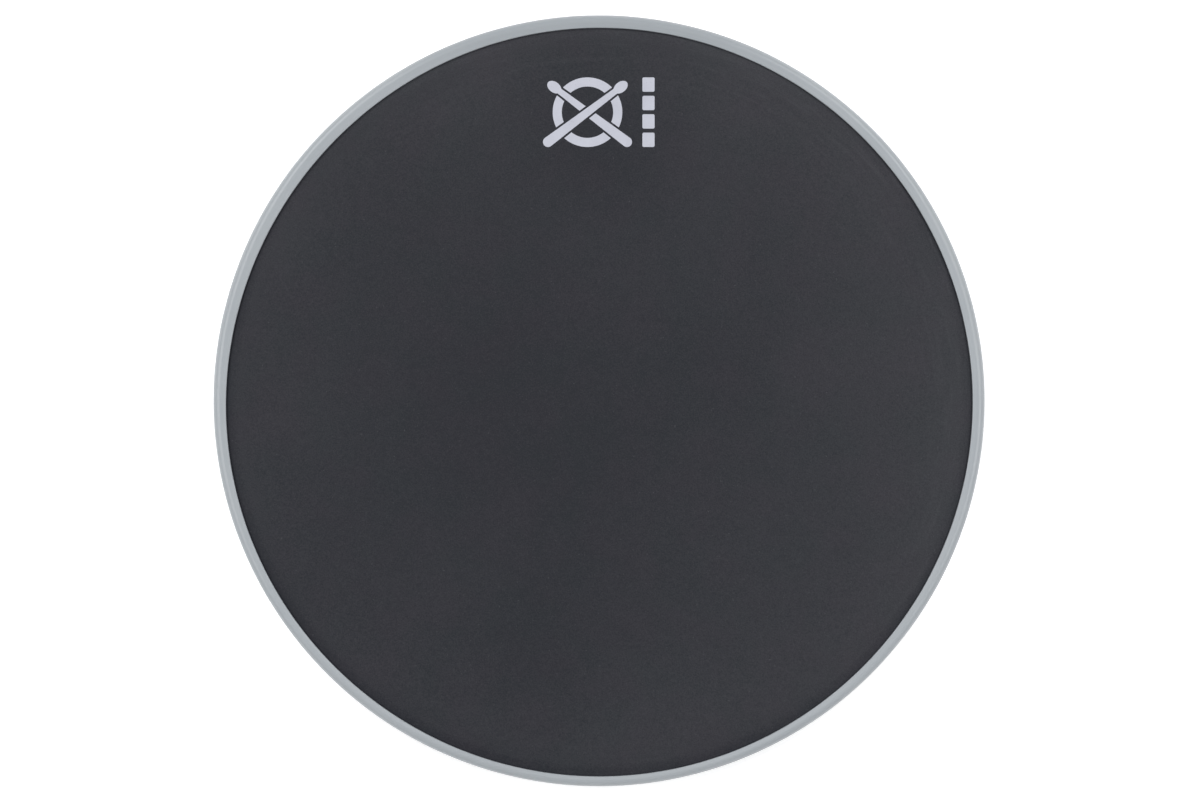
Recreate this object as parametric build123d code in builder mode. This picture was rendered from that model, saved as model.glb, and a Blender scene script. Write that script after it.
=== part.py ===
from build123d import *
import math
import os

# Round laminated drum practice pad, 12 in across, lying flat. Millimetres, +Z up.
# The origin is the centre of the face that the pad rests on. The printed mark is towards +Y.
#
# From the bottom up the pad is a rubber grip sheet, a heavy board, a foam cushion and a thin
# playing skin, held to one another by die-cut glue films. A moulded rubber ring with a lip
# above and a lip below is stretched over the edge of the stack and holds its layers pinched.

# ---- driving dimensions -------------------------------------------------------------------

pad_diameter = 304.8

# thickness of each layer
grip_thickness = 2.8
film_thickness = 0.2
board_thickness = 15.0
foam_thickness = 8.0
skin_thickness = 1.0

# edge ring
rim_wall = 3.0
rim_fit_gap = 0.1
rim_opening_radius = 147.7
rim_shoulder_radius = 2.7
rim_lip_thickness = 1.6
rim_lip_edge_radius = 0.3
rim_bottom_opening_radius = 143.4
rim_bottom_lip_thickness = 1.6
rim_bottom_edge_radius = 2.0
rim_inner_fillet = 0.4

# the lip presses the soft layers down, in a curve that starts this far from the centre
pinch_start_radius = 138.0
pinch_depth = 0.6

# board and grip sheet
board_arris_radius = 0.5
grip_edge_gap = 0.2
tread_depth = 0.8
tread_groove_width = 2.0
tread_pitch = 12.0
tread_first_radius = 24.0
tread_count = 10

# printed mark: two crossed sticks over a ring, and a bar of four beats beside them
ink_thickness = 0.1
mark_centre_y = 114.0
mark_height = 27.5
emblem_centre_x = -4.6
emblem_width = 35.2
emblem_ring_width = 3.6
stick_butt_radius = 2.0
stick_neck_radius = 1.1
stick_bead_length = 6.2
stick_bead_width = 4.2
stick_gap = 0.8
beat_bar_centre_x = 19.5
beat_bar_width = 4.8
beat_count = 4
beat_gap = 1.6
beat_corner_radius = 0.6

# ---- derived levels and radii -------------------------------------------------------------

pad_radius = pad_diameter / 2
rim_inner_wall_radius = pad_radius - rim_wall
stack_radius = rim_inner_wall_radius - rim_fit_gap
grip_radius = rim_bottom_opening_radius - grip_edge_gap

board_bottom = grip_thickness + film_thickness
board_top = board_bottom + board_thickness
foam_bottom = board_top + film_thickness
foam_top = foam_bottom + foam_thickness
skin_bottom = foam_top + film_thickness
skin_top = skin_bottom + skin_thickness

pinch_length = stack_radius - pinch_start_radius
pinch_arc_radius = (pinch_length**2 + pinch_depth**2) / (2 * pinch_depth)


def pinch_drop(radius):
    """How far the lip holds the top of the stack down, at this distance from the centre."""
    beyond_start = max(radius - pinch_start_radius, 0)
    return pinch_arc_radius - math.sqrt(pinch_arc_radius**2 - beyond_start**2)


rim_top = skin_top - pinch_drop(rim_opening_radius) + rim_lip_thickness
rim_bottom = board_bottom - rim_bottom_lip_thickness
side_wall_bottom = rim_bottom + rim_bottom_edge_radius
side_wall_top = rim_top - rim_shoulder_radius


def flat_disc_section(radius, low, high):
    """Half section of a flat disc that stands on the axis."""
    with Locations((radius / 2, (low + high) / 2)):
        Rectangle(radius, high - low)


def pinched_edge_line(level):
    """Top or bottom line of a soft layer: level, then curving down under the lip."""
    start = (pinch_start_radius, level)
    end = (stack_radius, level - pinch_depth)
    Line((0, level), start)
    TangentArc(start, end, tangent=(1, 0))


os.makedirs("parts", exist_ok=True)

# ---- grip sheet: rubber, with concentric tread grooves in its underside ------------------------

with BuildPart() as base_grip:
    with BuildSketch(Plane.XZ):
        flat_disc_section(grip_radius, 0, grip_thickness)
        for ring in range(tread_count):
            groove_radius = tread_first_radius + ring * tread_pitch
            with Locations((groove_radius, tread_depth / 2)):
                Rectangle(tread_groove_width, tread_depth, mode=Mode.SUBTRACT)
    revolve(axis=Axis.Z)
base_grip.part.label = "base_grip"
export_step(base_grip.part, "parts/base_grip.step")

with BuildPart() as grip_glue_film:
    with BuildSketch(Plane.XZ):
        flat_disc_section(grip_radius, grip_thickness, board_bottom)
    revolve(axis=Axis.Z)
grip_glue_film.part.label = "grip_glue_film"
export_step(grip_glue_film.part, "parts/grip_glue_film.step")

# ---- board: MDF disc with its sharp edges eased --------------------------------------------

with BuildPart() as base_board:
    with BuildSketch(Plane.XZ):
        flat_disc_section(stack_radius, board_bottom, board_top)
    revolve(axis=Axis.Z)
    fillet(base_board.edges().filter_by(GeomType.CIRCLE), board_arris_radius)
base_board.part.label = "base_board"
export_step(base_board.part, "parts/base_board.step")

with BuildPart() as foam_glue_film:
    with BuildSketch(Plane.XZ):
        flat_disc_section(stack_radius - board_arris_radius, board_top, foam_bottom)
    revolve(axis=Axis.Z)
foam_glue_film.part.label = "foam_glue_film"
export_step(foam_glue_film.part, "parts/foam_glue_film.step")

# ---- soft layers: level in the middle, curving down where the lip pinches them -------------------

with BuildPart() as foam_cushion:
    with BuildSketch(Plane.XZ):
        with BuildLine():
            pinched_edge_line(foam_top)
            Polyline(
                (stack_radius, foam_top - pinch_depth),
                (stack_radius, foam_bottom),
                (0, foam_bottom),
                (0, foam_top),
            )
        make_face()
    revolve(axis=Axis.Z)
foam_cushion.part.label = "foam_cushion"
export_step(foam_cushion.part, "parts/foam_cushion.step")


def pinched_sheet_outline(low, high):
    """Outline of a sheet of even thickness that follows the curve of the foam below it."""
    pinched_edge_line(high)
    pinched_edge_line(low)
    Line((0, low), (0, high))
    Line((stack_radius, low - pinch_depth), (stack_radius, high - pinch_depth))


with BuildPart() as skin_glue_film:
    with BuildSketch(Plane.XZ):
        with BuildLine():
            pinched_sheet_outline(foam_top, skin_bottom)
        make_face()
    revolve(axis=Axis.Z)
skin_glue_film.part.label = "skin_glue_film"
export_step(skin_glue_film.part, "parts/skin_glue_film.step")

with BuildPart() as playing_skin:
    with BuildSketch(Plane.XZ):
        with BuildLine():
            pinched_sheet_outline(skin_bottom, skin_top)
        make_face()
    revolve(axis=Axis.Z)
playing_skin.part.label = "playing_skin"
export_step(playing_skin.part, "parts/playing_skin.step")

# ---- edge ring: one moulding, C-shaped in section ------------------------------------------

with BuildPart() as rim_ring:
    with BuildSketch(Plane.XZ) as ring_section:
        with BuildLine():
            lip_under_edge = (rim_opening_radius, skin_top - pinch_drop(rim_opening_radius))
            lip_root = (rim_inner_wall_radius, skin_top - pinch_drop(rim_inner_wall_radius))
            lip_middle_radius = (rim_opening_radius + rim_inner_wall_radius) / 2
            lip_middle = (lip_middle_radius, skin_top - pinch_drop(lip_middle_radius))
            ThreePointArc(lip_under_edge, lip_middle, lip_root)
            Polyline(
                lip_root,
                (rim_inner_wall_radius, board_bottom),
                (rim_bottom_opening_radius, board_bottom),
                (rim_bottom_opening_radius, rim_bottom),
                (pad_radius - rim_bottom_edge_radius, rim_bottom),
            )
            RadiusArc(
                (pad_radius - rim_bottom_edge_radius, rim_bottom),
                (pad_radius, side_wall_bottom),
                -rim_bottom_edge_radius,
            )
            Line((pad_radius, side_wall_bottom), (pad_radius, side_wall_top))
            RadiusArc(
                (pad_radius, side_wall_top),
                (pad_radius - rim_shoulder_radius, rim_top),
                -rim_shoulder_radius,
            )
            Polyline(
                (pad_radius - rim_shoulder_radius, rim_top),
                (rim_opening_radius, rim_top),
                lip_under_edge,
            )
        make_face()
        lip_corner = ring_section.vertices().group_by(Axis.X)[1].sort_by(Axis.Y)[-1]
        fillet(lip_corner, rim_lip_edge_radius)
        bottom_lip_corners = ring_section.vertices().group_by(Axis.X)[0]
        fillet(bottom_lip_corners, rim_inner_fillet)
    revolve(axis=Axis.Z)
rim_ring.part.label = "rim_ring"
export_step(rim_ring.part, "parts/rim_ring.step")

# ---- printed mark: islands of ink on the skin ----------------------------------------------

stick_butt_x = emblem_width / 2 - stick_butt_radius
stick_butt_y = mark_height / 2 - stick_butt_radius
stick_length = 2 * math.hypot(stick_butt_x, stick_butt_y)
stick_angle = math.degrees(math.atan2(stick_butt_y, stick_butt_x))

emblem_ring_radius = mark_height / 2
beat_height = (mark_height - (beat_count - 1) * beat_gap) / beat_count


def drumstick(turn, grow=0):
    """A stick lying at this angle: a round butt, a body tapering to its neck, an oval bead."""
    butt_x = -stick_length / 2
    bead_x = (stick_length - stick_bead_length) / 2
    with BuildSketch(Plane.XY, mode=Mode.PRIVATE) as stick:
        with BuildLine():
            Polyline(
                (butt_x, -stick_butt_radius - grow),
                (bead_x, -stick_neck_radius - grow),
                (bead_x, stick_neck_radius + grow),
                (butt_x, stick_butt_radius + grow),
                close=True,
            )
        make_face()
        with Locations((butt_x, 0)):
            Circle(stick_butt_radius + grow)
        with Locations((bead_x, 0)):
            Ellipse(stick_bead_length / 2 + grow, stick_bead_width / 2 + grow)
    return Rot(0, 0, turn) * stick.sketch


with BuildPart() as surface_mark:
    with BuildSketch(Plane.XY.offset(skin_top)):
        with Locations((emblem_centre_x, mark_centre_y)):
            Circle(emblem_ring_radius)
            Circle(emblem_ring_radius - emblem_ring_width, mode=Mode.SUBTRACT)
            for turn in (180 - stick_angle, stick_angle):
                add(drumstick(turn, grow=stick_gap), mode=Mode.SUBTRACT)
                add(drumstick(turn))
        with Locations((beat_bar_centre_x, mark_centre_y)):
            with GridLocations(0, beat_height + beat_gap, 1, beat_count):
                RectangleRounded(beat_bar_width, beat_height, beat_corner_radius)
    extrude(amount=ink_thickness)
surface_mark.part.label = "surface_mark"
export_step(surface_mark.part, "parts/surface_mark.step")
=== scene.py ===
import math

import bmesh
import bpy
import numpy as np
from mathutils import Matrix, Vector, noise


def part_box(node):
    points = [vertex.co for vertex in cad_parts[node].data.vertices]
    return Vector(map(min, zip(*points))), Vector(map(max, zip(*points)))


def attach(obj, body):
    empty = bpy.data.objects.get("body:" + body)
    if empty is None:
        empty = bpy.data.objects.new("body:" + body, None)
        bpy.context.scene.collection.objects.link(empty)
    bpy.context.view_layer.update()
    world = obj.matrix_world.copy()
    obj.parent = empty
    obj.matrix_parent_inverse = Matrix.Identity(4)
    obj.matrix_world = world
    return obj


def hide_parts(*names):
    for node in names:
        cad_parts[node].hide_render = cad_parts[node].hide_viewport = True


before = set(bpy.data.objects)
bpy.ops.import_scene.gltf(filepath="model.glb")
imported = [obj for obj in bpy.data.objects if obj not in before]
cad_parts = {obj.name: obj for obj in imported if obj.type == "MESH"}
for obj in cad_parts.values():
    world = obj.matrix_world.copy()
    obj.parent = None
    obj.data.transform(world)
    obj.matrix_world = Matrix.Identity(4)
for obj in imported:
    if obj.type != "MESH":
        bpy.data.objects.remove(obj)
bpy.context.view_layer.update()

MM = 0.001

# ---- sizes, from the frame where it has them ------------------------------------------------

rim_low, rim_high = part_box("rim_ring")
skin_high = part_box("playing_skin")[1]
board_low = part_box("base_board")[0]

PAD_RADIUS = rim_high.x
RIM_TOP = rim_high.z
RIM_BOTTOM = rim_low.z
SKIN_RADIUS = skin_high.x
SKIN_TOP = skin_high.z
BOARD_BOTTOM = board_low.z
SKIN_THICKNESS = 1.0 * MM

# the edge ring's section, as the CAD has it
SHOULDER_RADIUS = 2.7 * MM
BOTTOM_EDGE_RADIUS = 2.0 * MM
LIP_EDGE_RADIUS = 0.3 * MM
WALL_THICKNESS = 3.0 * MM
BOTTOM_OPENING_RADIUS = 143.4 * MM
BOTTOM_LIP_FILLET = 0.4 * MM

# how far the upper lip falls from the shoulder to its inner edge
LIP_SLOPE_DROP = 0.28 * MM

# the opening in the ring's upper lip isn't quite round: order, size and phase of its wander
OPENING_RADIUS = 147.55 * MM
OPENING_WANDER = (
    (1, 0.70 * MM, -80),
    (2, 0.27 * MM, 131),
    (3, 0.15 * MM, -107),
    (4, 0.12 * MM, 26),
)
OPENING_RIPPLE = 0.03 * MM

# unevenness of the moulding: the top of the lip, and the wall's slow and quick waves
LIP_TOP_WAVE = 0.05 * MM
WALL_SLOW_WAVE = 0.06 * MM
WALL_QUICK_WAVE = 0.02 * MM

# the faint raised line round the middle of the wall, where the two halves of the mould met
PARTING_LINE_HEIGHT = 0.07 * MM
PARTING_LINE_WIDTH = 0.55 * MM

# the soft stack under the lip: the CAD's own curve, and how far the lip's edge bites in beyond it
PINCH_START = 138.0 * MM
PINCH_DEPTH = 0.6 * MM
BITE_DEPTH = 0.5 * MM
PINNED_RADIUS = 147.0 * MM

# points round each swept mesh
RIM_SPOKES = 720
SKIN_SPOKES = 360


# ---- small helpers --------------------------------------------------------------------------


def smooth_noise(x, y, z):
    """Gradient noise of about -1 to 1, for shapes."""
    return noise.noise(Vector((x, y, z)))


def ring_noise(angle, waves, seed):
    """Noise that closes on itself round the pad, with about this many waves in a turn."""
    reach = waves / 4
    return smooth_noise(reach * math.cos(angle), reach * math.sin(angle), seed)


def make_object(name, vertices, faces, smooth_angle=40):
    """A mesh object that is smooth-shaded except across edges sharper than the angle."""
    mesh = bpy.data.meshes.new(name)
    mesh.from_pydata([tuple(v) for v in vertices], [], faces)
    mesh.validate()
    mesh.shade_smooth()
    mesh.set_sharp_from_angle(angle=math.radians(smooth_angle))
    piece = bpy.data.objects.new(name, mesh)
    bpy.context.scene.collection.objects.link(piece)
    return piece


def finish_piece(piece, node, material):
    """Puts a piece in a CAD node's place."""
    piece.data.materials.clear()
    piece.data.materials.append(material)
    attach(piece, "root")
    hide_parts(node)


def pinch_drop(radius):
    """How far the lip holds the top of the soft stack down at this distance from the centre."""
    length = SKIN_RADIUS - PINCH_START
    arc_radius = (length**2 + PINCH_DEPTH**2) / (2 * PINCH_DEPTH)
    beyond = max(radius - PINCH_START, 0.0)
    return arc_radius - math.sqrt(arc_radius**2 - beyond**2)


# ---- the skin's shape -----------------------------------------------------------------------

SIM_RINGS = 60
SIM_SPOKES = 144
SIM_FRAMES = 20
SIM_PRESSURE = 4
SLACK_HEIGHT = 0.25 * MM
# a simulated rise of this much takes the skin three quarters of the way to its cap
RISE_SCALE = 0.9 * MM

# the playing surface's unevenness, and the rings of points that carry its shape
UNEVEN_HEIGHT = 0.018 * MM
FIRST_RING_RADIUS = 3.0 * MM
FLAT_RINGS = 60
ROLLED_RINGS = 33


def polar_grid(radii, spokes, height):
    """Vertices and faces of a disc: a centre point and rings of points round it."""
    vertices = [(0.0, 0.0, height(0.0, 0.0))]
    for radius in radii:
        for spoke in range(spokes):
            angle = 2 * math.pi * spoke / spokes
            place = (radius * math.cos(angle), radius * math.sin(angle), height(radius, angle))
            vertices.append(place)
    faces = [(0, 1 + s, 1 + (s + 1) % spokes) for s in range(spokes)]
    for ring in range(len(radii) - 1):
        inner = 1 + ring * spokes
        outer = inner + spokes
        for s in range(spokes):
            t = (s + 1) % spokes
            faces.append((inner + s, outer + s, outer + t, inner + t))
    return vertices, faces


def slack(radius, angle):
    """Height of the cloth disc before it is pressed: slightly uneven."""
    return SLACK_HEIGHT * smooth_noise(30 * radius * math.cos(angle), 30 * radius * math.sin(angle), 3.1)


def simulated_rise():
    """Rise of a cloth disc pinned under the lip and pressed up from below, by ring and spoke."""
    radii = [SKIN_RADIUS * (ring + 1) / SIM_RINGS for ring in range(SIM_RINGS)]
    vertices, faces = polar_grid(radii, SIM_SPOKES, slack)
    sheet = make_object("skin_simulation", vertices, faces)
    pinned = sheet.vertex_groups.new(name="pinned")
    pinned.add([i for i, v in enumerate(vertices) if math.hypot(v[0], v[1]) > PINNED_RADIUS], 1.0, "ADD")

    cloth = sheet.modifiers.new("Cloth", "CLOTH")
    cloth.settings.quality = 6
    cloth.settings.mass = 0.4
    cloth.settings.tension_stiffness = 60
    cloth.settings.compression_stiffness = 60
    cloth.settings.shear_stiffness = 20
    cloth.settings.bending_stiffness = 2
    cloth.settings.vertex_group_mass = "pinned"
    cloth.settings.use_pressure = True
    cloth.settings.uniform_pressure_force = SIM_PRESSURE
    cloth.settings.effector_weights.gravity = 0
    cloth.point_cache.frame_start = 1
    cloth.point_cache.frame_end = SIM_FRAMES
    scene = bpy.context.scene
    for step in range(1, SIM_FRAMES + 1):
        scene.frame_set(step)
    graph = bpy.context.evaluated_depsgraph_get()
    result = sheet.evaluated_get(graph).to_mesh()
    heights = np.array([v.co.z for v in result.vertices])
    scene.frame_set(1)
    bpy.data.objects.remove(sheet)
    rings = heights[1:].reshape(SIM_RINGS, SIM_SPOKES)
    return np.vstack([np.full((1, SIM_SPOKES), heights[0]), rings])


raw_rise = simulated_rise()
capped_rise = BITE_DEPTH * np.tanh(np.maximum(raw_rise, 0.0) / RISE_SCALE)


def rise_at(radius, angle):
    """The capped rise between the simulation's points, by linear interpolation."""
    across = min(radius / SKIN_RADIUS, 1.0) * SIM_RINGS
    along = (angle / (2 * math.pi) % 1.0) * SIM_SPOKES
    ring = min(int(across), SIM_RINGS - 1)
    spoke = int(along) % SIM_SPOKES
    next_spoke = (spoke + 1) % SIM_SPOKES
    u = across - ring
    v = along - int(along)
    near = capped_rise[ring, spoke] * (1 - v) + capped_rise[ring, next_spoke] * v
    far = capped_rise[ring + 1, spoke] * (1 - v) + capped_rise[ring + 1, next_spoke] * v
    return near * (1 - u) + far * u


def skin_height(radius, angle):
    """Height of the playing surface: level, a little uneven, and rolling down under the lip."""
    x = radius * math.cos(angle)
    y = radius * math.sin(angle)
    swell = BITE_DEPTH - rise_at(radius, angle)
    uneven = UNEVEN_HEIGHT * (smooth_noise(22 * x, 22 * y, 7.7) + 0.6 * smooth_noise(60 * x, 60 * y, 1.3))
    return SKIN_TOP - pinch_drop(radius) - swell + min(uneven, 0.0)


def build_skin():
    """A closed sheet: the playing surface above, the CAD's own lower face below."""
    flat = np.linspace(FIRST_RING_RADIUS, PINCH_START, FLAT_RINGS)
    rolled = np.linspace(PINCH_START, SKIN_RADIUS, ROLLED_RINGS + 1)[1:]
    radii = list(flat) + list(rolled)
    vertices, faces = polar_grid(radii, SKIN_SPOKES, skin_height)
    last_ring = 1 + (len(radii) - 1) * SKIN_SPOKES

    under_radii = list(rolled[::-4]) + [PINCH_START]
    previous = last_ring
    for radius in under_radii:
        start = len(vertices)
        under = SKIN_TOP - SKIN_THICKNESS - pinch_drop(radius)
        for s in range(SKIN_SPOKES):
            angle = 2 * math.pi * s / SKIN_SPOKES
            vertices.append((radius * math.cos(angle), radius * math.sin(angle), under))
        for s in range(SKIN_SPOKES):
            t = (s + 1) % SKIN_SPOKES
            faces.append((previous + s, start + s, start + t, previous + t))
        previous = start
    centre = len(vertices)
    vertices.append((0.0, 0.0, SKIN_TOP - SKIN_THICKNESS))
    faces += [(previous + (s + 1) % SKIN_SPOKES, previous + s, centre) for s in range(SKIN_SPOKES)]
    return make_object("playing_skin_sheet", vertices, faces)


# ---- the edge ring's shape ------------------------------------------------------------------


def opening_at(angle):
    """Radius of the upper lip's inner edge at this angle."""
    wander = sum(
        size * math.cos(order * angle - math.radians(phase)) for order, size, phase in OPENING_WANDER
    )
    return OPENING_RADIUS + wander + OPENING_RIPPLE * ring_noise(angle, 60, 4.2)


def arc(centre, radius, start, end, steps):
    """Points along an arc of the section, both ends included, from one angle to another."""
    turns = np.radians(np.linspace(start, end, steps + 1))
    return [(centre[0] + radius * math.cos(t), centre[1] + radius * math.sin(t)) for t in turns]


def wall_line():
    """The outside wall from the shoulder down, with the mould's parting line half way."""
    top = RIM_TOP - SHOULDER_RADIUS
    bottom = RIM_BOTTOM + BOTTOM_EDGE_RADIUS
    middle = (top + bottom) / 2
    half = PARTING_LINE_WIDTH / 2
    crest = PAD_RADIUS + PARTING_LINE_HEIGHT
    upper = [(PAD_RADIUS, z) for z in np.linspace(top, middle + half, 6)[1:]]
    ridge = [(crest, middle + half * 0.3), (crest, middle - half * 0.3)]
    lower = [(PAD_RADIUS, z) for z in np.linspace(middle - half, bottom, 6)[:-1]]
    return upper + ridge + lower


def rim_section(angle):
    """The ring's closed section at this angle, as radius and height, from the lip's inner edge."""
    opening = opening_at(angle)
    lip_top = RIM_TOP - LIP_SLOPE_DROP + LIP_TOP_WAVE * ring_noise(angle, 9, 8.8)
    shoulder_radius = PAD_RADIUS - SHOULDER_RADIUS
    bottom_radius = PAD_RADIUS - BOTTOM_EDGE_RADIUS
    inner_wall = PAD_RADIUS - WALL_THICKNESS
    land_start = opening + LIP_EDGE_RADIUS

    points = arc((land_start, lip_top - LIP_EDGE_RADIUS), LIP_EDGE_RADIUS, 180, 90, 5)
    for share in (0.25, 0.5, 0.75):
        across = land_start + share * (shoulder_radius - land_start)
        points.append((across, lip_top + share * (RIM_TOP - lip_top)))
    points += arc((shoulder_radius, RIM_TOP - SHOULDER_RADIUS), SHOULDER_RADIUS, 90, 0, 16)
    points += wall_line()
    points += arc((bottom_radius, RIM_BOTTOM + BOTTOM_EDGE_RADIUS), BOTTOM_EDGE_RADIUS, 0, -90, 9)
    low_inner = BOTTOM_OPENING_RADIUS + BOTTOM_LIP_FILLET
    points.append(((low_inner + bottom_radius) / 2, RIM_BOTTOM))
    points += arc((low_inner, RIM_BOTTOM + BOTTOM_LIP_FILLET), BOTTOM_LIP_FILLET, 270, 180, 4)
    points += arc((low_inner, BOARD_BOTTOM - BOTTOM_LIP_FILLET), BOTTOM_LIP_FILLET, 180, 90, 4)
    points.append((inner_wall, BOARD_BOTTOM))
    for radius in np.linspace(inner_wall, opening, 4):
        points.append((radius, skin_height(min(radius, SKIN_RADIUS), angle)))
    return points


def wall_wander(angle, height):
    """Slight unevenness of the moulded wall, nothing at its lower edge."""
    share = (height - RIM_BOTTOM) / (RIM_TOP - RIM_BOTTOM)
    slow = WALL_SLOW_WAVE * ring_noise(angle, 12, 2.0 + share)
    quick = WALL_QUICK_WAVE * ring_noise(angle, 48, 5.0 + 2 * share)
    return (slow + quick) * min(share * 3, 1.0)


def build_rim():
    """The moulded edge ring, swept round with its lip's wander and its wall's unevenness."""
    inner_limit = PAD_RADIUS - WALL_THICKNESS + 0.2 * MM
    vertices = []
    for spoke in range(RIM_SPOKES):
        angle = 2 * math.pi * spoke / RIM_SPOKES
        for radius, height in rim_section(angle):
            if radius > inner_limit:
                radius += wall_wander(angle, height)
            vertices.append((radius * math.cos(angle), radius * math.sin(angle), height))
    count = len(vertices) // RIM_SPOKES
    faces = []
    for spoke in range(RIM_SPOKES):
        here = spoke * count
        there = ((spoke + 1) % RIM_SPOKES) * count
        for k in range(count):
            m = (k + 1) % count
            faces.append((here + k, here + m, there + m, there + k))
    return make_object("rim_ring_moulding", vertices, faces, smooth_angle=50)


# ---- the printed mark's shape ---------------------------------------------------------------


INK_EDGE_LENGTH = 1.5 * MM
INK_WELD_DISTANCE = 0.002 * MM
# the printed ink's thickness as a share of the CAD's
INK_THICKNESS_SHARE = 0.6


def build_mark():
    """The mark's islands of ink, cut finely and laid down on the skin."""
    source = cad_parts["surface_mark"].data
    ink_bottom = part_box("surface_mark")[0].z
    mesh = bmesh.new()
    mesh.from_mesh(source)
    bmesh.ops.remove_doubles(mesh, verts=mesh.verts, dist=INK_WELD_DISTANCE)
    for _ in range(3):
        long_edges = [e for e in mesh.edges if e.calc_length() > INK_EDGE_LENGTH]
        if long_edges:
            bmesh.ops.subdivide_edges(mesh, edges=long_edges, cuts=1)
            bmesh.ops.triangulate(mesh, faces=mesh.faces)
    for v in mesh.verts:
        radius = math.hypot(v.co.x, v.co.y)
        angle = math.atan2(v.co.y, v.co.x)
        v.co.z = skin_height(radius, angle) + max(v.co.z - ink_bottom, 0.0) * INK_THICKNESS_SHARE
    bmesh.ops.recalc_face_normals(mesh, faces=mesh.faces)
    vertices = [tuple(v.co) for v in mesh.verts]
    faces = [[v.index for v in f.verts] for f in mesh.faces]
    mesh.free()
    return make_object("surface_mark_ink", vertices, faces, smooth_angle=30)


# ---- materials ------------------------------------------------------------------------------


class Shader:
    """A material with a Principled shader and short ways to add the nodes that feed it."""

    def __init__(self, name):
        self.material = bpy.data.materials.new(name)
        self.material.use_nodes = True
        self.tree = self.material.node_tree
        self.surface = self.tree.nodes["Principled BSDF"]
        self.place = self.tree.nodes.new("ShaderNodeTexCoord").outputs["Object"]

    def link(self, source, target):
        self.tree.links.new(source, target)

    def constant(self, **values):
        for name, value in values.items():
            self.surface.inputs[name.replace("_", " ")].default_value = value

    def stretched(self, scale, turn=0.0):
        """Object coordinates, stretched by a factor on each axis after a turn about Z."""
        node = self.tree.nodes.new("ShaderNodeMapping")
        node.inputs["Rotation"].default_value = (0.0, 0.0, math.radians(turn))
        node.inputs["Scale"].default_value = scale
        self.link(self.place, node.inputs["Vector"])
        return node.outputs["Vector"]

    def noise(self, size, detail=3.0, rough=0.5, place=None):
        """Noise with features of about this size, in metres."""
        node = self.tree.nodes.new("ShaderNodeTexNoise")
        node.inputs["Scale"].default_value = 1.0 / size
        node.inputs["Detail"].default_value = detail
        node.inputs["Roughness"].default_value = rough
        self.link(place or self.place, node.inputs["Vector"])
        return node.outputs["Fac"]

    def cells(self, size, randomness=1.0):
        """Distance to the nearest of many scattered points, about this far apart."""
        node = self.tree.nodes.new("ShaderNodeTexVoronoi")
        node.feature = "F1"
        node.inputs["Scale"].default_value = 1.0 / size
        node.inputs["Randomness"].default_value = randomness
        self.link(self.place, node.inputs["Vector"])
        return node.outputs["Distance"]

    def span(self, value, low, high, to_low=0.0, to_high=1.0, smooth=False):
        """Maps low..high to to_low..to_high, clamped."""
        node = self.tree.nodes.new("ShaderNodeMapRange")
        node.interpolation_type = "SMOOTHSTEP" if smooth else "LINEAR"
        node.inputs["From Min"].default_value = low
        node.inputs["From Max"].default_value = high
        node.inputs["To Min"].default_value = to_low
        node.inputs["To Max"].default_value = to_high
        self.link(value, node.inputs["Value"])
        return node.outputs["Result"]

    def maths(self, operation, first, second):
        node = self.tree.nodes.new("ShaderNodeMath")
        node.operation = operation
        for socket, value in zip(node.inputs, (first, second)):
            if isinstance(value, (int, float)):
                socket.default_value = value
            else:
                self.link(value, socket)
        return node.outputs["Value"]

    def flat_place(self):
        """The place with its height left out."""
        node = self.tree.nodes.new("ShaderNodeVectorMath")
        node.operation = "MULTIPLY"
        node.inputs[1].default_value = (1.0, 1.0, 0.0)
        self.link(self.place, node.inputs[0])
        return node.outputs["Vector"]

    def radius(self):
        """Distance from the pad's axis."""
        node = self.tree.nodes.new("ShaderNodeVectorMath")
        node.operation = "LENGTH"
        self.link(self.flat_place(), node.inputs[0])
        return node.outputs["Value"]

    def axis(self, name):
        """One coordinate of the place."""
        node = self.tree.nodes.new("ShaderNodeSeparateXYZ")
        self.link(self.place, node.inputs["Vector"])
        return node.outputs[name]

    def spot(self, place, size):
        """1 at a place and falling smoothly to 0 at this distance from it."""
        node = self.tree.nodes.new("ShaderNodeVectorMath")
        node.operation = "DISTANCE"
        node.inputs[1].default_value = place
        self.link(self.place, node.inputs[0])
        return self.span(node.outputs["Value"], 0.0, size, 1.0, 0.0, smooth=True)

    def total(self, start, *parts):
        """A starting number plus each part's value times its weight."""
        result = start
        for value, weight in parts:
            node = self.tree.nodes.new("ShaderNodeMath")
            node.operation = "MULTIPLY_ADD"
            self.link(value, node.inputs[0])
            node.inputs[1].default_value = weight
            if isinstance(result, float):
                node.inputs[2].default_value = result
            else:
                self.link(result, node.inputs[2])
            result = node.outputs["Value"]
        return result

    def around(self, line_width, run):
        """Coordinates for streaks that run round the pad: this wide, and about this long."""
        heading = self.tree.nodes.new("ShaderNodeVectorMath")
        heading.operation = "NORMALIZE"
        self.link(self.flat_place(), heading.inputs[0])
        turn = self.tree.nodes.new("ShaderNodeVectorMath")
        turn.operation = "SCALE"
        turn.inputs["Scale"].default_value = PAD_RADIUS / run
        self.link(heading.outputs["Vector"], turn.inputs[0])
        lines = self.tree.nodes.new("ShaderNodeCombineXYZ")
        across = self.maths("ADD", self.radius(), self.axis("Z"))
        self.link(self.maths("DIVIDE", across, line_width), lines.inputs["Z"])
        both = self.tree.nodes.new("ShaderNodeVectorMath")
        both.operation = "ADD"
        self.link(turn.outputs["Vector"], both.inputs[0])
        self.link(lines.outputs["Vector"], both.inputs[1])
        return both.outputs["Vector"]

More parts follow.
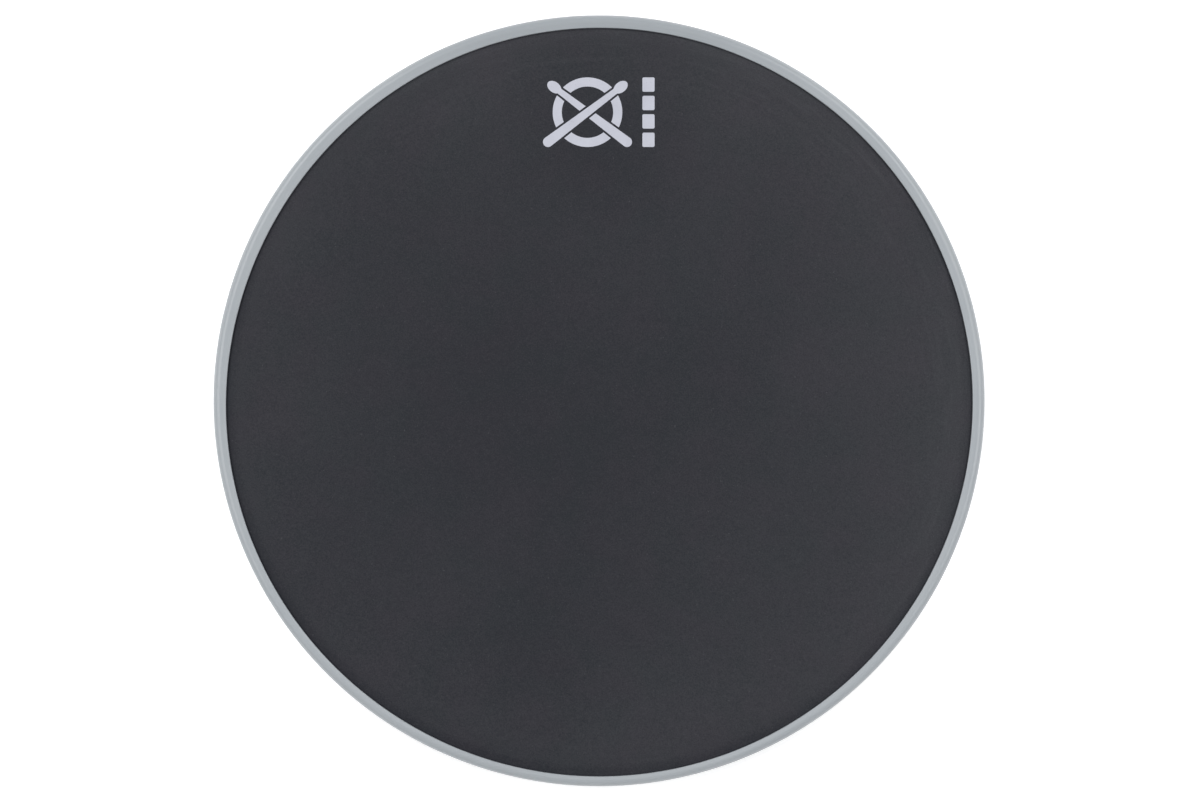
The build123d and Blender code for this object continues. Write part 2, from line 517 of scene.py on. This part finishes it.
    def mix(self, amount, first, second):
        """A colour from first, where amount is 0, to second, where it is 1."""
        node = self.tree.nodes.new("ShaderNodeMix")
        node.data_type = "RGBA"
        self.link(amount, node.inputs["Factor"])
        for socket, value in ((node.inputs["A"], first), (node.inputs["B"], second)):
            if isinstance(value, tuple):
                socket.default_value = (*value, 1.0)
            else:
                self.link(value, socket)
        return node.outputs["Result"]

    def bump(self, height, depth, after=None):
        """Bump of this depth in metres, on top of another bump if one is given."""
        node = self.tree.nodes.new("ShaderNodeBump")
        node.inputs["Strength"].default_value = 1.0
        node.inputs["Distance"].default_value = depth
        self.link(height, node.inputs["Height"])
        if after is not None:
            self.link(after, node.inputs["Normal"])
        return node.outputs["Normal"]

    def colour(self, value):
        self.link(value, self.surface.inputs["Base Color"])

    def roughness(self, value):
        self.link(value, self.surface.inputs["Roughness"])

    def normal(self, value):
        self.link(value, self.surface.inputs["Normal"])

    def emission(self, value):
        self.link(value, self.surface.inputs["Emission Strength"])


# the haze is 0 at the skin's darkest and 1 at its palest; besides handling haze it carries a painted
# sheen, which grows with the square of the distance across and along the pad, and leans to the right and
# the far side
HAZE_AND_SHEEN_AT_CENTRE = 0.125
HAZE_AND_SHEEN_ACROSS = 0.315
HAZE_AND_SHEEN_ALONG = 0.29
HAZE_AND_SHEEN_TO_RIGHT = 0.125
HAZE_AND_SHEEN_TO_FAR = 0.02
HAZE_NEAR_MARK = -0.15
HAZE_NEAR_FOOT = -0.07

# how much each of the skin's patterns adds to the haze
CLOUD_WEIGHT = 0.28
MOTTLE_WEIGHT = 0.30
GRAIN_WEIGHT = 0.52
SPECK_WEIGHT = 1.10
FLECK_WEIGHT = 0.80
RUB_WEIGHT = 0.30
LIP_PAINTED_SHADE_WEIGHT = -0.20

# where the skin is rubbed pale, and where painted shade darkens it against the lip, from the axis
RUB_BAND = (118 * MM, 146 * MM)
LIP_PAINTED_SHADE_BAND = (142.3 * MM, 146.3 * MM)
LIP_CENTRE_OFFSET = 0.8 * MM

SKIN_DARK = ((0.0072, 0.0093, 0.0146), (0.0088, 0.0088, 0.0149))
SKIN_PALE = ((0.0395, 0.0416, 0.0480), (0.0412, 0.0406, 0.0486))


def skin_material():
    """Black coated playing skin: matt, cloudy, finely grained, hazed by handling and paler with a painted
    sheen towards its edge, with painted shade against the lip.
    """
    s = Shader("skin_coated_black")
    right = s.maths("DIVIDE", s.axis("X"), SKIN_RADIUS)
    far = s.maths("DIVIDE", s.axis("Y"), SKIN_RADIUS)
    clouds = s.noise(45 * MM, 3.0, 0.5)
    mottle = s.noise(6 * MM, 4.0, 0.6)
    grain = s.noise(1.4 * MM, 3.0, 0.6)
    specks = s.noise(0.50 * MM, 2.0, 0.6)
    flecks = s.span(s.noise(0.9 * MM, 2.0, 0.5), 0.70, 0.78)
    near_mark = s.spot((0.0, 112 * MM, SKIN_TOP), 60 * MM)
    near_foot = s.spot((-24 * MM, -108 * MM, SKIN_TOP), 40 * MM)
    weave = (CLOUD_WEIGHT, MOTTLE_WEIGHT, GRAIN_WEIGHT, SPECK_WEIGHT)
    # the square and lean terms paint a sheen into the colour, on top of the handling haze and the skin's
    # own patterns
    haze_and_sheen = s.total(
        HAZE_AND_SHEEN_AT_CENTRE - sum(weave) / 2,
        (s.maths("MULTIPLY", right, right), HAZE_AND_SHEEN_ACROSS),
        (s.maths("MULTIPLY", far, far), HAZE_AND_SHEEN_ALONG),
        (right, HAZE_AND_SHEEN_TO_RIGHT),
        (far, HAZE_AND_SHEEN_TO_FAR),
        (near_mark, HAZE_NEAR_MARK),
        (near_foot, HAZE_NEAR_FOOT),
        (clouds, CLOUD_WEIGHT),
        (mottle, MOTTLE_WEIGHT),
        (grain, GRAIN_WEIGHT),
        (specks, SPECK_WEIGHT),
        (flecks, FLECK_WEIGHT),
    )
    edge = s.span(s.radius(), *RUB_BAND, smooth=True)
    upper_right = s.span(s.maths("ADD", right, far), -0.4, 1.2, 0.15, 1.0, smooth=True)
    rub_lines = s.span(s.noise(1.0, 5.0, 0.65, place=s.around(2.2 * MM, 40 * MM)), 0.50, 0.72)
    rubs = s.maths("MULTIPLY", s.maths("MULTIPLY", edge, upper_right), rub_lines)
    # painted shade in the band against the lip, darkest on the near side and turning to painted light on
    # the far side
    from_lip_centre = s.total(0.0, (s.radius(), 1.0), (far, LIP_CENTRE_OFFSET))
    lip_painted_shade_near = s.span(from_lip_centre, *LIP_PAINTED_SHADE_BAND, smooth=True)
    lip_painted_shade = s.maths("MULTIPLY", lip_painted_shade_near, s.span(far, 0.3, 0.95, 1.0, -0.7))
    haze_and_sheen = s.total(0.0, (haze_and_sheen, 1.0), (rubs, RUB_WEIGHT), (lip_painted_shade, LIP_PAINTED_SHADE_WEIGHT))

    tint = s.span(s.noise(24 * MM, 3.0, 0.6), 0.35, 0.65)
    s.colour(s.mix(haze_and_sheen, s.mix(tint, *SKIN_DARK), s.mix(tint, *SKIN_PALE)))

    s.roughness(s.span(s.total(0.0, (mottle, 0.5), (grain, 0.5)), 0.3, 0.7, 0.52, 0.68))
    pores = s.cells(1.1 * MM)
    soft = s.bump(s.noise(6 * MM, 3.0, 0.5), 0.05 * MM)
    leather = s.bump(pores, 0.05 * MM, after=soft)
    s.normal(s.bump(s.noise(0.45 * MM, 3.0, 0.6), 0.03 * MM, after=leather))
    s.constant(IOR=1.36)
    return s.material


RIM_GREY = ((0.341, 0.368, 0.393), (0.362, 0.387, 0.410))
RIM_FLECK = (0.315, 0.344, 0.370)
RIM_LINE = (0.392, 0.416, 0.437)
RIM_FAR_PAINTED_SHADE = (0.310, 0.335, 0.358)
RIM_SCUFF = (0.20, 0.21, 0.22)
SCUFF_HEIGHT = 5 * MM


def rim_material():
    """Light cool-grey moulded rubber: satin, faintly clouded, with lines left by turning the mould, and
    painted shade towards the far side.
    """
    s = Shader("rim_moulded_grey")
    bloom = s.span(s.noise(40 * MM, 4.0, 0.6), 0.35, 0.7)
    fleck = s.span(s.noise(1.6 * MM, 3.0, 0.5), 0.35, 0.7)
    lines = s.noise(1.0, 3.0, 0.6, place=s.around(0.9 * MM, 60 * MM))
    tone = s.mix(bloom, *RIM_GREY)
    tone = s.mix(s.maths("MULTIPLY", fleck, 0.22), tone, RIM_FLECK)
    tone = s.mix(s.maths("MULTIPLY", s.span(lines, 0.45, 0.75), 0.35), tone, RIM_LINE)
    # painted shade: the grey turns darker towards the far side of the ring
    far_side_painted_shade = s.span(s.axis("Y"), 0.8 * PAD_RADIUS, 0.98 * PAD_RADIUS, 0.0, 0.75, smooth=True)
    tone = s.mix(far_side_painted_shade, tone, RIM_FAR_PAINTED_SHADE)
    foot = s.span(s.axis("Z"), RIM_BOTTOM, RIM_BOTTOM + SCUFF_HEIGHT, 1.0, 0.0, smooth=True)
    scuff = s.span(s.noise(5 * MM, 5.0, 0.65), 0.5, 0.68)
    tone = s.mix(s.maths("MULTIPLY", s.maths("MULTIPLY", foot, scuff), 0.35), tone, RIM_SCUFF)
    s.colour(tone)
    s.roughness(s.span(s.total(0.0, (bloom, 0.4), (fleck, 0.3), (lines, 0.3)), 0.2, 0.8, 0.28, 0.33))
    waves = s.bump(s.noise(4 * MM, 2.0, 0.5), 0.02 * MM)
    turned = s.bump(lines, 0.006 * MM, after=waves)
    s.normal(s.bump(s.noise(0.5 * MM, 3.0, 0.5), 0.005 * MM, after=turned))
    s.constant(IOR=1.5)
    return s.material


INK = ((0.456, 0.467, 0.537), (0.495, 0.507, 0.577))
INK_PINHOLE = (0.16, 0.16, 0.18)


def ink_material():
    """Pale screen-printed ink: flat, slightly uneven, with pinholes where the grain shows."""
    s = Shader("mark_printed_ink")
    lay = s.span(s.noise(7 * MM, 4.0, 0.6), 0.3, 0.7)
    tone = s.mix(lay, *INK)
    pinholes = s.span(s.noise(0.5 * MM, 2.0, 0.5), 0.66, 0.74)
    tone = s.mix(s.maths("MULTIPLY", pinholes, 0.35), tone, INK_PINHOLE)
    s.colour(tone)
    s.roughness(s.span(lay, 0.0, 1.0, 0.50, 0.60))
    s.normal(s.bump(s.cells(1.1 * MM), 0.02 * MM))
    return s.material


GRIP_BLACK = (0.018, 0.018, 0.019)
GRIP_DUST = (0.06, 0.058, 0.055)


def grip_material():
    """Black non-slip rubber, dull, with a fine fabric-like mould texture and floor dust."""
    s = Shader("grip_black_rubber")
    dust = s.span(s.noise(12 * MM, 5.0, 0.65), 0.45, 0.75)
    tone = s.mix(s.maths("MULTIPLY", dust, 0.4), GRIP_BLACK, GRIP_DUST)
    s.colour(tone)
    s.roughness(s.span(dust, 0.0, 1.0, 0.62, 0.85))
    s.normal(s.bump(s.cells(0.9 * MM, randomness=0.35), 0.08 * MM))
    return s.material


FOAM_PORE = (0.030, 0.030, 0.033)
FOAM_WALL = (0.070, 0.070, 0.075)


def foam_material():
    """Dark closed-cell foam: small open cells on its cut edge."""
    s = Shader("foam_closed_cell")
    cell = s.cells(0.8 * MM)
    tone = s.mix(s.span(cell, 0.0, 0.6), FOAM_PORE, FOAM_WALL)
    s.colour(tone)
    s.roughness(s.span(s.noise(4 * MM), 0.3, 0.7, 0.8, 0.95))
    s.normal(s.bump(cell, 0.2 * MM))
    return s.material


BOARD_FIBRES = ((0.32, 0.22, 0.13), (0.46, 0.34, 0.22))
BOARD_PATCH = (0.27, 0.19, 0.115)


def board_material():
    """MDF: pressed brown fibre, finely mottled."""
    s = Shader("board_mdf")
    fibre = s.noise(0.8 * MM, 5.0, 0.7, place=s.stretched((0.35, 1.0, 2.5), turn=20))
    patch = s.noise(14 * MM, 4.0, 0.6)
    tone = s.mix(s.span(fibre, 0.3, 0.7), *BOARD_FIBRES)
    tone = s.mix(s.maths("MULTIPLY", s.span(patch, 0.4, 0.7), 0.3), tone, BOARD_PATCH)
    s.colour(tone)
    s.roughness(s.span(fibre, 0.3, 0.7, 0.7, 0.88))
    s.normal(s.bump(fibre, 0.05 * MM))
    return s.material


FILM_TONES = ((0.66, 0.62, 0.50), (0.76, 0.73, 0.62))


def film_material():
    """Pale adhesive film, with faint rolling marks."""
    s = Shader("glue_film_clear")
    marks = s.noise(2 * MM, 4.0, 0.6, place=s.stretched((0.15, 1.0, 1.0)))
    s.colour(s.mix(s.span(marks, 0.35, 0.65), *FILM_TONES))
    s.roughness(s.span(marks, 0.3, 0.7, 0.3, 0.45))
    s.normal(s.bump(marks, 0.01 * MM))
    return s.material


FLOOR_WHITE = ((0.845, 0.845, 0.845), (0.855, 0.855, 0.855))
FLOOR_GLOW = 0.46
GLOW_EDGE = (PAD_RADIUS - 4 * MM, PAD_RADIUS + 0.5 * MM)


def floor_material():
    """Plain near-white light table: it glows faintly, except where the pad covers it."""
    s = Shader("floor_paper")
    tooth = s.noise(3 * MM, 3.0, 0.5)
    s.colour(s.mix(s.span(tooth, 0.3, 0.7), *FLOOR_WHITE))
    s.constant(Roughness=0.9, IOR=1.3, Emission_Color=(1.0, 1.0, 1.0, 1.0))
    s.emission(s.span(s.radius(), *GLOW_EDGE, 0.0, FLOOR_GLOW, smooth=True))
    return s.material


# ---- the pieces -----------------------------------------------------------------------------

skin = build_skin()
finish_piece(skin, "playing_skin", skin_material())

rim = build_rim()
finish_piece(rim, "rim_ring", rim_material())

mark = build_mark()
finish_piece(mark, "surface_mark", ink_material())

film = film_material()
node_materials = {
    "base_grip": grip_material(),
    "foam_cushion": foam_material(),
    "base_board": board_material(),
    "skin_glue_film": film,
    "foam_glue_film": film,
    "grip_glue_film": film,
}
for node, material in node_materials.items():
    for material_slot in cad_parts[node].material_slots:
        material_slot.material = material


# ---- floor, lights and camera ---------------------------------------------------------------

FLOOR_RINGS = (0.3, 0.8, 2.0, 5.0, 9.0)
FLOOR_SPOKES = 96
FLOOR_GAP = 0.05 * MM


def floor_height(radius, angle):
    """The floor is level, so the place makes no difference."""
    return -FLOOR_GAP


def build_floor():
    """A wide round floor just under the pad."""
    vertices, faces = polar_grid(FLOOR_RINGS, FLOOR_SPOKES, floor_height)
    floor = make_object("floor", vertices, faces)
    floor.data.materials.append(floor_material())


# name, place, width and depth, power in watts: two rows of soft lights, left and right of the pad
SOFT_LIGHTS = (
    ("light_left", (-1.5, -0.15, 2.1), (1.1, 1.7), 19.5),
    ("light_left_far", (-1.15, 1.0, 2.1), (0.9, 1.1), 16.5),
    ("light_right", (1.5, -0.15, 2.1), (1.1, 1.7), 17),
    ("light_right_far", (1.15, 1.0, 2.1), (0.9, 1.1), 15),
)


def add_light(name, place, size, power):
    """A soft rectangular light that faces the middle of the pad."""
    light = bpy.data.lights.new(name, "AREA")
    light.shape = "RECTANGLE"
    light.size, light.size_y = size
    light.energy = power
    lamp = bpy.data.objects.new(name, light)
    lamp.location = place
    lamp.rotation_euler = (-Vector(place)).to_track_quat("-Z", "Y").to_euler()
    bpy.context.scene.collection.objects.link(lamp)


# the world's brightness at the horizon and overhead, and where it turns from one to the other: these
# are heights and depths of a direction whose length is 1
HORIZON_GLOW = 0.79
OVERHEAD_GLOW_NEAR = 0.285
OVERHEAD_GLOW_FAR = 0.34
CEILING_TURN = (-0.7, 0.7)
HORIZON_TURN = (0.12, 0.45)


def build_world():
    """A pale horizon that meets the floor, under a softer ceiling, dimmer on the near side."""
    world = bpy.data.worlds.new("studio")
    world.use_nodes = True
    tree = world.node_tree
    heading = tree.nodes.new("ShaderNodeTexCoord").outputs["Generated"]
    split = tree.nodes.new("ShaderNodeSeparateXYZ")
    tree.links.new(heading, split.inputs["Vector"])
    ceiling = tree.nodes.new("ShaderNodeMapRange")
    ceiling.inputs["From Min"].default_value, ceiling.inputs["From Max"].default_value = CEILING_TURN
    ceiling.inputs["To Min"].default_value = OVERHEAD_GLOW_NEAR
    ceiling.inputs["To Max"].default_value = OVERHEAD_GLOW_FAR
    tree.links.new(split.outputs["Y"], ceiling.inputs["Value"])
    rise = tree.nodes.new("ShaderNodeMapRange")
    rise.interpolation_type = "SMOOTHSTEP"
    rise.inputs["From Min"].default_value, rise.inputs["From Max"].default_value = HORIZON_TURN
    rise.inputs["To Min"].default_value = HORIZON_GLOW
    tree.links.new(split.outputs["Z"], rise.inputs["Value"])
    tree.links.new(ceiling.outputs["Result"], rise.inputs["To Max"])
    background = tree.nodes["Background"]
    background.inputs["Color"].default_value = (1.0, 1.0, 1.0, 1.0)
    tree.links.new(rise.outputs["Result"], background.inputs["Strength"])
    bpy.context.scene.world = world


CAMERA_DISTANCE = 2.2
VIEW_WIDTH = 474.35 * MM
CAMERA_RIGHT = 0.34 * MM
CAMERA_FAR = 0.31 * MM
SENSOR_WIDTH = 36.0


def build_camera():
    """Straight above the pad, with the mark at the top of the picture."""
    widest = RIM_TOP - SHOULDER_RADIUS
    data = bpy.data.cameras.new("camera")
    data.sensor_width = SENSOR_WIDTH
    data.lens = SENSOR_WIDTH * CAMERA_DISTANCE / VIEW_WIDTH
    data.clip_end = 50.0
    camera = bpy.data.objects.new("camera", data)
    camera.location = (CAMERA_RIGHT, CAMERA_FAR, widest + CAMERA_DISTANCE)
    bpy.context.scene.collection.objects.link(camera)
    bpy.context.scene.camera = camera


build_floor()
build_world()
for soft_light in SOFT_LIGHTS:
    add_light(*soft_light)
build_camera()

scene = bpy.context.scene
scene.view_settings.view_transform = "Standard"
scene.view_settings.look = "None"
scene.view_settings.exposure = 0.0
scene.view_settings.gamma = 1.0
